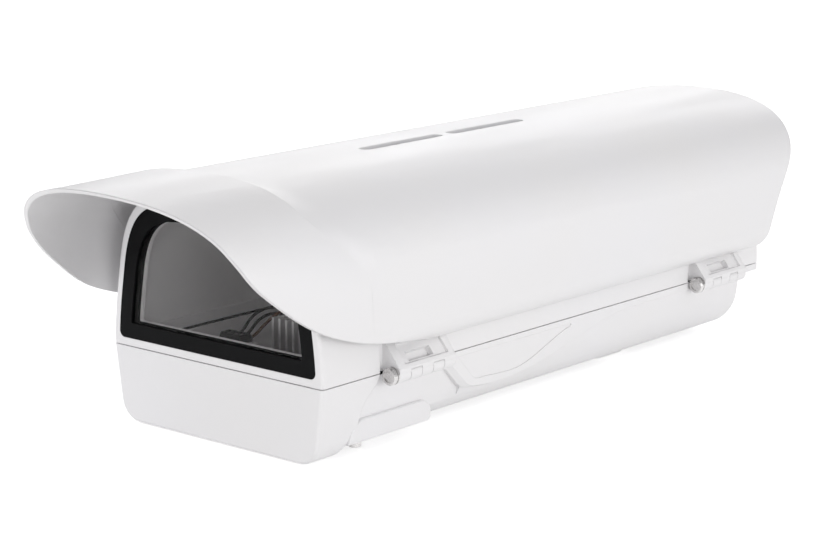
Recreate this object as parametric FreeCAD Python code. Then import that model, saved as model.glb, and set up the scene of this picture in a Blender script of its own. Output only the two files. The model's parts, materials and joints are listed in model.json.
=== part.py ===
import FreeCAD, Part
import math
import os

os.makedirs("parts", exist_ok=True)
V = FreeCAD.Vector

# Outdoor camera housing, in millimetres. +X is the hinged side, +Y runs back from the window, +Z is up.
# The origin is the centre of the bracket holes, on the underside that it stands on.

# Body
BODY_WIDTH = 154.0
BODY_LENGTH = 403.0
PARTING = 42.0  # height of the plane where cover and tray meet
PARTING_GAP = 0.5
WALL = 3.0
RIM = 5.0  # width of the tray's top rim and of the cover's foot
RIM_HEIGHT = 6.0
EDGE_ROUND = 2.0

# Upper cover
LID_HEIGHT = 86.5
LID_POWER = 5.0  # 2 is an ellipse, and a higher power has squarer shoulders
LID_DRAFT = 0.1

# Window
SEAL_INSET = 4.6  # white margin around the black border
SEAL_FOOT = 4.4
SEAL_LIP = 1.2
SEAL_SIDE = 1.5
SEAL_FIT = 0.1
SEAL_CORNER = 3.5
VIEW_CORNER = 0.8
GLASS_THICK = 4.0
BORDER = 8.6
BORDER_FOOT = 8.6
WINDOW_LEDGE = 3.0

# Lower tray
TRAY_STEP = 1.0  # how far the lower wall lies behind the belt
TRAY_DEPTH = 38.4
TRAY_TAPER = 4.5  # how much narrower each side is at the bottom
TRAY_ROUND = 24.4
TRAY_SHORT = 11.0  # how far the lower wall ends before the belt
TRAY_END_ROUND = 10.0
CHIN_TAPER = 6.0
CHIN_ROUND = 13.0
CHIN_WALL = 5.0
SKIRT_TOP = 43.9  # where the front skirt's rear edge meets the parting plane, from the front
SKIRT_WAIST = 31.8
SKIRT_FOOT = 18.0
BELT_HEIGHT = 5.0
BELT_START = 90.0
BELT_DEPTH = 23.0
BELT_CORNER = 14.0
BELT_BEVEL = 2.2
BELT_SLOPE = 4.5
BELT_SWEEP = 185.0  # from the nose to where the narrow band starts
PANEL_START = 17.0
SCOOP_DEPTH = 2.6  # the bay round the front hinge
PANEL_DEPTH = 0.5

# Feet and mounting face
FOOT_FRONT = 23.5
FOOT_SHOULDER = 36.0  # where its top edge starts, from the front
FOOT_END = 89.0
FOOT_INSET = 3.5
FOOT_TOP = 22.8
FOOT_BOTTOM = 35.0
FOOT_ROUND = 8.0
FOOT_HEEL = 3.0
FOOT_EDGE = 1.0
RAIL_HALF = 34.0
RAIL_FRONT = 125.0
RAIL_END = 303.0
RAIL_ROUND = 8.0
PAD_HALF = 48.0
PAD_LENGTH = 31.0
PAD_ROUND = 6.0
BRACKET_X = 50.0
BRACKET_Y = 90.0
BRACKET_HOLE_R = 2.5
INSERT_R = 4.0
INSERT_LENGTH = 9.0
BOSS_WALL = 2.5

# Sunshield
SHIELD_OUT = 11.2  # how far it stands out past each side of the body
SHIELD_RISE = 13.5
SHIELD_SPRING = 56.0
SHIELD_POWER = 2.35
SHIELD_WALL = 2.5
LIP_IN = 8.0  # how far the lower lip curls inwards
LIP_BOTTOM = 12.4
LIP_BEND = 24.0
LIP_FLAT = 1.6
REAR_SHORT = 8.0  # how far the raked tail ends before the body at the lip, and past it higher up
REAR_MIDDLE = 13.5
REAR_REACH = 46.0
REAR_MIDDLE_HEIGHT = 57.0
VISOR_RISE = 3.5
VISOR_SPRING = 40.0  # at the step, where the visor is squarest
VISOR_POWER = 2.72
VISOR_RIM_SPRING = 76.0
VISOR_RIM_POWER = 2.08
VISOR_REACH = 81.0  # how far the rim's top lies in front of the window
VISOR_CREASE = 5.0  # and how far the step behind the visor does
VISOR_JOG = 4.0
VISOR_TAPER = 0.00217  # share of the width lost per millimetre in front of the step
VISOR_TAPER_BLEND = 5.0
SLOT_FRONT = 116.0
SLOT_LENGTH = 68.0
SLOT_PITCH = 74.5
SLOT_WIDTH = 8.0
SLOT_NECK = 4.6
SHIELD_RAIL_HALF = 12.0
SHIELD_RAIL_DROP = 6.5
SHIELD_LEDGE = 4.5
SEAT_GAP = 0.3
POST_R = 9.0
POST_ROOT = 4.0

# Hinges
HINGE_OUT = 5.0  # how far the pins' axis lies outside the body
HINGE_Z = -1.0
HINGE_FIRST = 48.5
HINGE_LAST = 27.5  # from the rear hinge to the body's end
KNUCKLES = 5
KNUCKLE_LENGTH = 9.0
KNUCKLE_GAP = 0.3
KNUCKLE_R = 4.5
PIN_R = 2.0
PIN_FIT = 0.02
PIN_RUNNING_FIT = 0.06
PIN_HEAD_R = 4.75
PIN_HEAD_LENGTH = 3.8
PIN_DISH = 1.6
PIN_GROOVE = 0.6
PIN_TAIL = 1.0
POCKET_R = 6.0
BRACKET_NOSE = 2.7  # height of the slope's lower edge
BRACKET_TOP = 15.2
BRACKET_BITE = 0.6  # how far the slope's upper edge lies inside the body's side
BRACKET_CHEEK = 6.0
BRACKET_REAR_CHEEK = 4.3
BRACKET_RECESS = 1.5
BRACKET_POCKET = 3.5
POCKET_START = 11.5
POCKET_LENGTH = 19.5
BAY_TOP = 20.0  # of the cover's recess behind each hinge
BAY_AHEAD = 0.7
BAY_BACK = 3.0

# Closing screws on the far side
LATCH_OUT = 7.0
LUG_OUT = 14.0
LUG_LENGTH = 30.0
LUG_THICK = 8.0
LATCH_R = 2.5
LATCH_HEAD_R = 4.25
LATCH_HEAD = 5.0
LATCH_REACH = 6.0
LATCH_PLAY = 0.65
LUG_SEAT = 0.2
SCREW_FIT = 0.05

# Gasket
GASKET_WIDTH = 2.6
GASKET_HEIGHT = 1.4
GASKET_GAP = 0.2

# Screws
SOCKET_SHARE = 0.55
FOOT_SCREW_R = 2.0
FOOT_SCREW_HEAD_R = 3.5
FOOT_SCREW_HEAD = 5.0
FOOT_SCREW_INSET = 9.0
FOOT_SCREW_Y = 38.0
FOOT_SCREW_LENGTH = 10.0
SHIELD_SCREW_R = 2.0
SHIELD_SCREW_HEAD_R = 3.7
SHIELD_SCREW_HEAD = 2.6
SHIELD_SCREW_LENGTH = 7.0

# Camera plate
PLATE_HALF = 42.0
PLATE_FRONT = 84.0
PLATE_REAR = 51.0
PLATE_THICK = 2.0
PLATE_LIFT = 6.0
PLATE_ROUND = 6.0
PLATE_SCREW_INSET = 8.0
PLATE_SCREW_R = 2.0
PLATE_SCREW_HEAD_R = 3.8
PLATE_SCREW_HEAD = 2.4
PLATE_BOSS_R = 5.0
PLATE_SLOT_WIDTH = 7.0
PLATE_SLOT_HALF = 70.0
CAMERA_SCREW_R = 3.1
CAMERA_SCREW_HEAD_R = 7.0
CAMERA_SCREW_HEAD = 3.6
CAMERA_SCREW_UP = 8.0

# Terminal block and its bracket
BLOCK_X = -33.0
BLOCK_Y = 49.0
BLOCK_LENGTH = 15.0
BLOCK_WIDTH = 11.0
BLOCK_HEIGHT = 5.0
BLOCK_POLES = 3
BLOCK_SCREW_R = 1.5
BLOCK_WELL_R = 1.9
DESK_TOP = -1.5  # height of the bracket's top, from the parting plane
DESK_THICK = 1.5
DESK_LEFT = -45.0
DESK_RIGHT = -20.0
DESK_FRONT = 33.0
DESK_BACK = 57.0
DESK_FLANGE = 12.0
DESK_BEND = 2.5
DESK_SCREW_R = 1.5
DESK_SCREW_HEAD_R = 2.8
DESK_SCREW_HEAD = 1.8

# Heater
HEATER_GAP = 2.0  # between its side and the desk
HEATER_Y = 62.0
HEATER_WIDTH = 42.0
HEATER_BASE = 5.0
HEATER_FIN = 8.0
HEATER_FIN_THICK = 1.6
HEATER_FINS = 9
HEATER_TOP = 12.0
HEATER_FOOT = 10.0
HEATER_FOOT_THICK = 3.0
HEATER_SCREW_R = 1.5
HEATER_SCREW_HEAD_R = 2.8
HEATER_SCREW_HEAD = 1.8

# Wires
WIRE_R = 0.85
WIRE_SHARE = 0.45
WIRE_GAP = 0.4

# Cable glands
GLAND_X = 30.0
GLAND_Z = -17.0
GLAND_THREAD_R = 8.0
GLAND_FLATS = 19.0
GLAND_HEX = 5.0
GLAND_BARREL_R = 8.6
GLAND_BARREL = 7.0
GLAND_CAP_R = 9.6
GLAND_CAP = 12.0
GLAND_CABLE_R = 4.0
GLAND_SEAL_R = 6.6
GLAND_SEAL = 9.0
GLAND_NUT = 5.0
GLAND_INSIDE = 8.0
GLAND_FIT = 0.1

FRONT = -BODY_LENGTH / 2
HALF = BODY_WIDTH / 2
SHIELD_HALF = HALF + SHIELD_OUT
SHIELD_TOP = LID_HEIGHT + SHIELD_RISE
VISOR_TOP = SHIELD_TOP + VISOR_RISE
TRAY_END = BODY_LENGTH - TRAY_SHORT
FOOT_OUT = HALF - FOOT_INSET
FOOT_SCREW_X = FOOT_OUT - FOOT_SCREW_INSET
HINGE_X = HALF + HINGE_OUT
LATCH_X = -HALF - LATCH_OUT
PLATE_END = BODY_LENGTH - PLATE_REAR
HEATER_X = DESK_RIGHT + HEATER_GAP + HEATER_WIDTH / 2
HALF_GAP = PARTING_GAP / 2
ARCH_STEPS = 18  # even, so that the crown is one of the points
INNER_HALF = HALF - RIM
TRAY_HALF = HALF - TRAY_STEP
TRAY_FLOOR = WALL - TRAY_DEPTH
LEFT = -1
RIGHT = 1
ACROSS = 2 * SHIELD_HALF  # wider and longer than any piece, for what cuts right through
BEYOND = BODY_LENGTH + ACROSS
HINGE_LENGTH = KNUCKLES * KNUCKLE_LENGTH
HINGE_STARTS = {"front": HINGE_FIRST, "rear": BODY_LENGTH - HINGE_LAST - HINGE_LENGTH}
SLOT_CENTRES = [SLOT_FRONT + SLOT_LENGTH / 2, SLOT_FRONT + SLOT_LENGTH / 2 + SLOT_PITCH]
RAIL_UNDERSIDE = SHIELD_TOP - SHIELD_RAIL_DROP
LEDGE = SHIELD_TOP - SHIELD_LEDGE
PLATE_TOP = TRAY_FLOOR + PLATE_LIFT + PLATE_THICK


def back(distance):
    """A Y place, given as the distance behind the window's face."""
    return FRONT + distance


def up(height):
    """A Z place, given as the height above the parting plane."""
    return PARTING + height


def across_at(distance):
    """Places (x, height) on the plane that lies this far behind the window's face."""
    return lambda x, height: V(x, back(distance), up(height))


def side_at(x):
    """Places (distance, height) on the plane at x."""
    return lambda distance, height: V(x, back(distance), up(height))


def plan_at(height):
    """Places (x, distance) on the level at this height."""
    return lambda x, distance: V(x, back(distance), up(height))


def outline(place, path, spacing=None):
    """A closed face. In the path a point is a line to it, a list of two an arc, and a longer list a curve,
    which starts and ends upright where its two ends are level. Sections that are joined share one spacing
    of the curve's points.
    """
    edges = []
    here = place(*path[0])
    for step in path[1:]:
        stops = [place(*point) for point in step] if isinstance(step, list) else [place(*step)]
        if len(stops) == 1:
            edges.append(Part.makeLine(here, stops[0]))
        elif len(stops) == 2:
            edges.append(Part.Arc(here, stops[0], stops[1]).toShape())
        else:
            curve = Part.BSplineCurve()
            if abs(here.z - stops[-1].z) < 1e-6:
                curve.interpolate(Points=[here] + stops, InitialTangent=V(0, 0, 1), Scale=False,
                                  FinalTangent=V(0, 0, -1), Parameters=spacing or spacing_of([here] + stops))
            else:
                curve.interpolate([here] + stops)
            edges.append(curve.toShape())
        here = stops[-1]
    start = place(*path[0])
    if (here - start).Length > 1e-6:
        edges.append(Part.makeLine(here, start))
    return Part.Face(Part.Wire(edges))


def spacing_of(points):
    """How far along the straight runs from point to point each of them lies."""
    along = [0.0]
    for before, after in zip(points, points[1:]):
        along.append(along[-1] + (after - before).Length)
    return along


def bend(before, corner, after, trim):
    """The start, middle and end of the arc that cuts a corner, and its radius."""
    toward = (corner - before).normalize()
    away = (after - corner).normalize()
    half_turn = toward.getAngle(away) / 2
    radius = trim / math.tan(half_turn)
    middle = corner + (away - toward).normalize() * (radius / math.cos(half_turn) - radius)
    return corner - toward * trim, middle, corner + away * trim, radius


def rounded(before, corner, after, r):
    """A rounded corner, as two steps of a path: the run up to it, and its arc."""
    a, b, c = (V(x, y, 0) for x, y in (before, corner, after))
    turn = (b - a).getAngle(c - b)
    start, middle, end, _ = bend(a, b, c, r * math.tan(turn / 2))
    return [(start.x, start.y), [(middle.x, middle.y), (end.x, end.y)]]


def along_y(path, start, end):
    """The (x, height) outline, run from one distance behind the window's face to another."""
    return outline(across_at(start), path).extrude(V(0, end - start, 0))


def along_x(path, start, end):
    """The (distance, height) outline, run from one x to another."""
    return outline(side_at(start), path).extrude(V(end - start, 0, 0))


def along_z(path, start, end):
    """The (x, distance) outline, run from one height to another."""
    return outline(plan_at(start), path).extrude(V(0, 0, end - start))


def block(x0, x1, d0, d1, h0, h1):
    return Part.makeBox(x1 - x0, d1 - d0, h1 - h0, V(x0, back(d0), up(h0)))


def post(x, distance, h0, h1, r):
    """An upright round bar between two heights."""
    return Part.makeCylinder(r, h1 - h0, V(x, back(distance), up(h0)), V(0, 0, 1))


def rod(x, height, d0, d1, r):
    """A round bar along Y between two distances."""
    return Part.makeCylinder(r, d1 - d0, V(x, back(d0), up(height)), V(0, 1, 0))


def mirror_x(shape):
    return shape.mirror(V(0, 0, 0), V(1, 0, 0))


def both_sides(shape):
    return [shape, mirror_x(shape)]


def arch_points(half, spring, top, power, draft=0.0):
    """A smooth arch from one spring point to the other, without the first point."""
    points = []
    for step in range(1, ARCH_STEPS + 1):
        turn = math.pi * step / ARCH_STEPS
        rise = (top - spring) * math.sin(turn) ** (2 / power) if step < ARCH_STEPS else 0.0
        reach = math.copysign(abs(math.cos(turn)) ** (2 / power), math.cos(turn))
        points.append(((half - draft * rise) * reach, spring + rise))
    return points


def rounded_box(x0, x1, d0, d1, r):
    """A rounded rectangle in plan, as a path."""
    k = r * (1 - math.sqrt(0.5))
    return [
        (x0 + r, d0), (x1 - r, d0), [(x1 - k, d0 + k), (x1, d0 + r)],
        (x1, d1 - r), [(x1 - k, d1 - k), (x1 - r, d1)],
        (x0 + r, d1), [(x0 + k, d1 - k), (x0, d1 - r)],
        (x0, d0 + r), [(x0 + k, d0 + k), (x0 + r, d0)],
    ]


def slot_path(x, d0, d1, width):
    """A slot with round ends along Y, in plan, as a path."""
    r = width / 2
    return [(x - r, d0 + r), [(x, d0), (x + r, d0 + r)], (x + r, d1 - r), [(x, d1), (x - r, d1 - r)]]


def hexagon(x, z, flats):
    r = flats / math.sqrt(3)
    return [(x + r * math.cos(math.radians(60 * k)), z + r * math.sin(math.radians(60 * k))) for k in range(6)]


def edges_where(shape, test):
    return [edge for edge in shape.Edges if test(edge)]


def level(edge, height):
    box = edge.BoundBox
    return abs(box.ZMin - up(height)) < 0.01 and abs(box.ZMax - up(height)) < 0.01


def facing(edge, distance):
    box = edge.BoundBox
    return abs(box.YMin - back(distance)) < 0.01 and abs(box.YMax - back(distance)) < 0.01


def lid_arch(inset, foot, d0, d1, corner=0.0):
    """The cover's arch, moved inwards, between two distances and above a level foot."""
    half = HALF - inset
    path = [(half, 0.0), arch_points(half, 0.0, LID_HEIGHT - inset, LID_POWER, LID_DRAFT)]
    arch = along_y(path, d0, d1).cut(block(-HALF, HALF, d0 - 1, d1 + 1, -1.0, foot))
    if corner:
        corners = edges_where(arch, lambda e: level(e, foot) and e.BoundBox.XLength < 0.01)
        arch = arch.makeFillet(corner, corners)
    return arch


def on_slope(share, depth):
    """A place (x, height) on the hinge bracket's slope, by its share of the way up, or this deep under it."""
    run = HALF - BRACKET_BITE - HINGE_X - KNUCKLE_R
    rise = BRACKET_TOP - BRACKET_NOSE
    length = math.hypot(run, rise)
    x = HINGE_X + KNUCKLE_R + share * run - depth * rise / length
    return x, BRACKET_NOSE + share * rise + depth * run / length


def hinge_bracket(start):
    """The cover's half of a hinge: a wedge with a sunk, pocketed panel between two cheeks, over its knuckles."""
    end = start + HINGE_LENGTH
    root = HALF - SCOOP_DEPTH - 1
    wedge = [(root, HALF_GAP), (HINGE_X + KNUCKLE_R, HALF_GAP), on_slope(0.0, 0.0), on_slope(1.0, 0.0),
             (root, BRACKET_TOP)]
    bracket = along_y(wedge, start, end)
    panel = [on_slope(0.14, -1.0), on_slope(0.88, -1.0), on_slope(0.88, BRACKET_RECESS),
             on_slope(0.14, BRACKET_RECESS)]
    bracket = bracket.cut(along_y(panel, start + BRACKET_CHEEK, end - BRACKET_REAR_CHEEK))
    low = BRACKET_RECESS + BRACKET_POCKET
    pocket = [on_slope(0.24, 0.0), on_slope(0.58, 0.0), on_slope(0.58, low), on_slope(0.24, low)]
    bracket = bracket.cut(along_y(pocket, start + POCKET_START, start + POCKET_START + POCKET_LENGTH))
    for number in range(KNUCKLES):
        d0 = start + number * KNUCKLE_LENGTH
        d1 = d0 + KNUCKLE_LENGTH
        if number % 2:
            bracket = bracket.cut(rod(HINGE_X, HINGE_Z, d0 - 0.01, d1 + 0.01, KNUCKLE_R + 2 * KNUCKLE_GAP))
        else:
            d0 = d0 if number == 0 else d0 + KNUCKLE_GAP / 2
            d1 = d1 if number == KNUCKLES - 1 else d1 - KNUCKLE_GAP / 2
            bracket = bracket.fuse(rod(HINGE_X, HINGE_Z, d0, d1, KNUCKLE_R))
    bore = rod(HINGE_X, HINGE_Z, start - 1, end + 1, PIN_R + PIN_RUNNING_FIT)
    return bracket.cut(bore)


def bay_start(start):
    return start - KNUCKLE_GAP - PIN_HEAD_LENGTH - BAY_AHEAD


def latch_lug(h0, h1, hole_r):
    """A rounded ear on the far side, with an upright hole."""
    r = LUG_LENGTH / 4
    ear = along_z(rounded_box(-HALF - LUG_OUT, -HALF + WALL, -LUG_LENGTH / 2, LUG_LENGTH / 2, r), h0, h1)
    return ear.cut(post(LATCH_X, 0, h0 - 1, h1 + 1, hole_r))


def at_latch(shape, start):
    """Moves what is drawn at the front edge back to the middle of a hinge."""
    moved = shape.copy()
    moved.translate(V(0, start + HINGE_LENGTH / 2, 0))
    return moved


def lid_shell():
    """The upper cover: arched shell with the window's rebate, hinge brackets, closing ears and shield posts."""
    shell = lid_arch(0.0, HALF_GAP, 0.0, BODY_LENGTH)
    front_edges = edges_where(shell, lambda e: facing(e, 0.0) and not level(e, HALF_GAP))
    shell = shell.makeFillet(EDGE_ROUND, front_edges)
    frame = SEAL_LIP + GLASS_THICK + SEAL_LIP + SEAL_FIT + WINDOW_LEDGE
    cavity = lid_arch(WALL, RIM_HEIGHT, frame, BODY_LENGTH - WALL)
    mouth = block(-INNER_HALF, INNER_HALF, frame, BODY_LENGTH - RIM, 0.0, RIM_HEIGHT + 1)
    shell = shell.cut(cavity).cut(mouth)
    rebate = lid_arch(SEAL_INSET, SEAL_FOOT, -1.0, frame - WINDOW_LEDGE, SEAL_CORNER + SEAL_FIT)
    view = lid_arch(SEAL_INSET + BORDER, SEAL_FOOT + BORDER_FOOT, -1.0, frame + 1, VIEW_CORNER)
    shell = shell.cut(rebate).cut(view)
    for start in HINGE_STARTS.values():
        d0 = bay_start(start)
        d1 = start + HINGE_LENGTH + BAY_BACK
        sill = INNER_HALF - SCOOP_DEPTH + 2
        lining = block(sill, HALF, d0 - WALL, d1 + WALL, RIM_HEIGHT - 1, BAY_TOP + WALL)
        shell = shell.fuse(lining.common(lid_arch(0.0, HALF_GAP, 0.0, BODY_LENGTH)))
        shell = shell.cut(block(HALF - SCOOP_DEPTH, HALF + 1, d0, d1, 0.0, BAY_TOP)).fuse(hinge_bracket(start))
        ear = latch_lug(HALF_GAP + LUG_SEAT, LUG_THICK, LATCH_R + LATCH_PLAY)
        shell = shell.fuse(at_latch(ear, start))
    shell = shell.cut(block(-INNER_HALF, INNER_HALF, frame, BODY_LENGTH - RIM, 0.0, RIM_HEIGHT))
    for centre in SLOT_CENTRES:
        boss = post(0, centre, LID_HEIGHT - WALL - POST_ROOT, RAIL_UNDERSIDE - SEAT_GAP, POST_R)
        hole = post(0, centre, LEDGE - SHIELD_SCREW_LENGTH - 2, RAIL_UNDERSIDE, SHIELD_SCREW_R + SCREW_FIT)
        shell = shell.fuse(boss).cut(hole)
    return shell.removeSplitter()


def window_seal():
    """The black channel round the glass, flush with the cover's face."""
    depth = 2 * SEAL_LIP + GLASS_THICK
    ring = lid_arch(SEAL_INSET + SEAL_FIT, SEAL_FOOT + SEAL_FIT, 0.0, depth, SEAL_CORNER)
    ring = ring.cut(lid_arch(SEAL_INSET + BORDER, SEAL_FOOT + BORDER_FOOT, -1.0, depth + 1, VIEW_CORNER))
    groove = lid_arch(SEAL_INSET + SEAL_SIDE, SEAL_FOOT + SEAL_SIDE, SEAL_LIP, SEAL_LIP + GLASS_THICK,
                      SEAL_CORNER - SEAL_SIDE + SEAL_FIT)
    return ring.cut(groove)


def window_glass():
    inset = SEAL_INSET + SEAL_SIDE + SEAL_FIT
    foot = SEAL_FOOT + SEAL_SIDE + SEAL_FIT
    return lid_arch(inset, foot, SEAL_LIP, SEAL_LIP + GLASS_THICK, SEAL_CORNER - SEAL_SIDE)


def tray_section(half, taper, round_r, depth):
    """Slightly tapering sides, round shoulders and a flat bottom, below the parting gap."""
    right = rounded((half, 0.0), (half - taper, -depth), (0.0, -depth), round_r)
    left = rounded((0.0, -depth), (taper - half, -depth), (-half, 0.0), round_r)
    return [(half, -HALF_GAP)] + right + left + [(-half, -HALF_GAP)]


def skirt():
    """The deep front of the tray, with a curved rear edge."""
    side = [(0.0, -HALF_GAP), (SKIRT_TOP, -HALF_GAP),
            [(SKIRT_TOP - 4.2, -7.6), (SKIRT_WAIST + 1.2, -15.3), (SKIRT_WAIST - 1.0, -22.8),
             (FOOT_FRONT, FOOT_EDGE - FOOT_BOTTOM), (SKIRT_FOOT, -PARTING)],
            (0.0, -PARTING)]
    section = tray_section(HALF, CHIN_TAPER, CHIN_ROUND, PARTING)
    front = along_y(section, 0.0, 2 * SKIRT_TOP).common(along_x(side, -HALF, HALF))
    front_edges = edges_where(front, lambda e: facing(e, 0.0) and not level(e, -HALF_GAP))
    return front.makeFillet(EDGE_ROUND, front_edges)


def belt_path(slope, soften):
    """Side view of the belt: a slanting nose, then a long sweep up to a narrow band."""
    top = BELT_START + slope
    nose = top + BELT_DEPTH
    low = soften - BELT_DEPTH
    corner = rounded((top, -HALF_GAP), (nose, low), (BODY_LENGTH, low), BELT_CORNER)
    end = BELT_START + BELT_SWEEP
    sweep = [(end - 118.0, low - 0.6), (end - 78.0, soften - 17.5), (end - 37.0, soften - 8.2),
             (end, soften - BELT_HEIGHT)]
    return [(top, -HALF_GAP)] + corner + [sweep, (BODY_LENGTH, soften - BELT_HEIGHT), (BODY_LENGTH, -HALF_GAP)]


def belt():
    """The proud belt, with a wide slope at its nose and a narrow one along its lower edge."""
    inner = HALF - BELT_BEVEL
    core = along_x(belt_path(0.0, 0.0), -inner, inner)
    layers = [(inner, belt_path(0.0, 0.0)), (HALF, belt_path(BELT_SLOPE, BELT_BEVEL / 3))]
    cheek = Part.makeLoft([outline(side_at(x), path).OuterWire for x, path in layers], True, True)
    return core.fuse(both_sides(cheek))


def panel_recess():
    """The shallow sunk field on the belt of each side."""
    nose = BELT_START + PANEL_START
    path = [(nose, -3.4), (nose + 10.5, -14.5), [(nose + 14.0, -17.5), (nose + 21.5, -18.4)],
            [(nose + 36.0, -19.4), (nose + 53.0, -19.2), (nose + 79.0, -11.5), (nose + 100.5, -4.8)],
            [(nose + 101.2, -3.7), (nose + 100.0, -3.4)]]
    return along_x(path, HALF - PANEL_DEPTH, HALF + 1)


def hinge_arms(start):
    """The tray's knuckles on short arms, and the play around the cover's knuckles."""
    arms = []
    for number in range(1, KNUCKLES, 2):
        d0 = start + number * KNUCKLE_LENGTH + KNUCKLE_GAP / 2
        d1 = d0 + KNUCKLE_LENGTH - KNUCKLE_GAP
        arm = [(HALF - RIM, HINGE_Z - KNUCKLE_R), (HINGE_X, HINGE_Z - KNUCKLE_R), (HINGE_X, -HALF_GAP),
               (HALF - RIM, -HALF_GAP)]
        arms.append(along_y(arm, d0, d1).fuse(rod(HINGE_X, HINGE_Z, d0, d1, KNUCKLE_R)))
    return arms


def foot():
    """The long pad low on the side, which grows out of the skirt's rear edge."""
    toe = (FOOT_FRONT, -FOOT_BOTTOM)
    shin = (FOOT_FRONT + 0.3 * (FOOT_SHOULDER - FOOT_FRONT), -FOOT_TOP - 0.34 * (FOOT_BOTTOM - FOOT_TOP))
    top_end = (FOOT_END, -FOOT_TOP)
    bottom_end = (FOOT_END, -FOOT_BOTTOM)
    path = [toe, [shin, (FOOT_SHOULDER, -FOOT_TOP)]]
    path += rounded((FOOT_SHOULDER, -FOOT_TOP), top_end, bottom_end, FOOT_ROUND)
    path += rounded(top_end, bottom_end, toe, FOOT_HEEL)
    pad = along_x(path, HALF / 2, FOOT_OUT)
    return pad.makeFillet(FOOT_EDGE, edges_where(pad, lambda e: abs(e.BoundBox.XMin - FOOT_OUT) < 0.01))


def hinge_scoop():
    """The shallow bay round the front hinge, parallel to the skirt's side."""
    inner = HALF - SCOOP_DEPTH
    path = [(inner, 0.0), (HALF + 1, 0.0), (HALF + 1, -PARTING), (inner - CHIN_TAPER, -PARTING)]
    return along_y(path, SKIRT_FOOT, BELT_START + BELT_DEPTH)


def gasket_path(inset):
    return [(inset - HALF, inset), (HALF - inset, inset), (HALF - inset, BODY_LENGTH - inset),
            (inset - HALF, BODY_LENGTH - inset)]


def gasket_ring(h0, h1, grow):
    outer = along_z(gasket_path(RIM - GASKET_WIDTH - grow), h0, h1)
    return outer.cut(along_z(gasket_path(RIM), h0 - 1, h1 + 1))


def bracket_places():
    middle = BODY_LENGTH / 2
    return [(x, middle + y) for x in (-BRACKET_X / 2, BRACKET_X / 2) for y in (-BRACKET_Y / 2, BRACKET_Y / 2)]


def plate_places():
    inset = PLATE_SCREW_INSET
    return [(x, d) for x in (inset - PLATE_HALF, PLATE_HALF - inset)
            for d in (PLATE_FRONT + inset, PLATE_END - inset)]


def base_shell():
    """The lower tray: deep chin and skirt, belt, scooped hinge bays, feet and the rail for the bracket."""
    tray = along_y(tray_section(TRAY_HALF, TRAY_TAPER, TRAY_ROUND, TRAY_DEPTH), EDGE_ROUND, TRAY_END)
    end_edges = edges_where(tray, lambda e: facing(e, TRAY_END) and not level(e, -HALF_GAP))
    tray = tray.makeFillet(TRAY_END_ROUND, end_edges)
    for bay in both_sides(hinge_scoop()):
        tray = tray.cut(bay)
    for pad in both_sides(foot()):
        tray = tray.fuse(pad)
    rail = along_z(rounded_box(-RAIL_HALF, RAIL_HALF, RAIL_FRONT, RAIL_END, RAIL_ROUND), -PARTING, TRAY_FLOOR)
    cross = rounded_box(-PAD_HALF, PAD_HALF, RAIL_END - PAD_LENGTH, RAIL_END, PAD_ROUND)
    tray = tray.fuse([rail, along_z(cross, -PARTING, TRAY_FLOOR), skirt(), belt()])
    hollow = tray_section(INNER_HALF, TRAY_TAPER, TRAY_ROUND - WALL, TRAY_DEPTH - WALL)
    cavity = along_y(hollow, CHIN_WALL, TRAY_END - WALL)
    cavity = cavity.fuse(block(-INNER_HALF, INNER_HALF, CHIN_WALL, TRAY_END - WALL, -HALF_GAP - 1, 1.0))
    tray = tray.cut(cavity)
    for start in HINGE_STARTS.values():
        end = start + HINGE_LENGTH
        bay = rod(HINGE_X, HINGE_Z, bay_start(start), end + KNUCKLE_GAP, POCKET_R)
        tray = tray.cut(bay).fuse(hinge_arms(start))
        tray = tray.cut(rod(HINGE_X, HINGE_Z, start - 1, end + 1, PIN_R + PIN_FIT))
        ear = latch_lug(-LUG_THICK, -HALF_GAP, LATCH_R + SCREW_FIT)
        tray = tray.fuse(at_latch(ear, start))
    for panel in both_sides(panel_recess()):
        tray = tray.cut(panel)
    tray = tray.cut(gasket_ring(-HALF_GAP - GASKET_HEIGHT + PARTING_GAP - GASKET_GAP, 1.0, GASKET_GAP / 2))
    for x, distance in bracket_places():
        boss_r = INSERT_R + BOSS_WALL
        tray = tray.fuse(post(x, distance, -TRAY_DEPTH, INSERT_LENGTH + WALL - PARTING, boss_r))
        tray = tray.cut(post(x, distance, -PARTING - 1, INSERT_LENGTH - PARTING, INSERT_R + SCREW_FIT))
    for x, distance in plate_places():
        tray = tray.fuse(post(x, distance, -TRAY_DEPTH + 1, TRAY_FLOOR + PLATE_LIFT, PLATE_BOSS_R))
        tray = tray.cut(post(x, distance, TRAY_FLOOR, PLATE_TOP, PLATE_SCREW_R + SCREW_FIT))
    top = FOOT_SCREW_LENGTH + 1 - FOOT_BOTTOM
    for x in (-FOOT_SCREW_X, FOOT_SCREW_X):
        tray = tray.cut(post(x, FOOT_SCREW_Y, -FOOT_BOTTOM - 1, top, FOOT_SCREW_R + SCREW_FIT))
        tray = tray.cut(post(x, FOOT_SCREW_Y, -PARTING - 1, -FOOT_BOTTOM, FOOT_SCREW_HEAD_R + SEAT_GAP))
    for x in (-GLAND_X, GLAND_X):
        tray = tray.cut(rod(x, GLAND_Z, TRAY_END - 2 * WALL, TRAY_END + 1, GLAND_THREAD_R + GLAND_FIT))
    return tray.removeSplitter()


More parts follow.
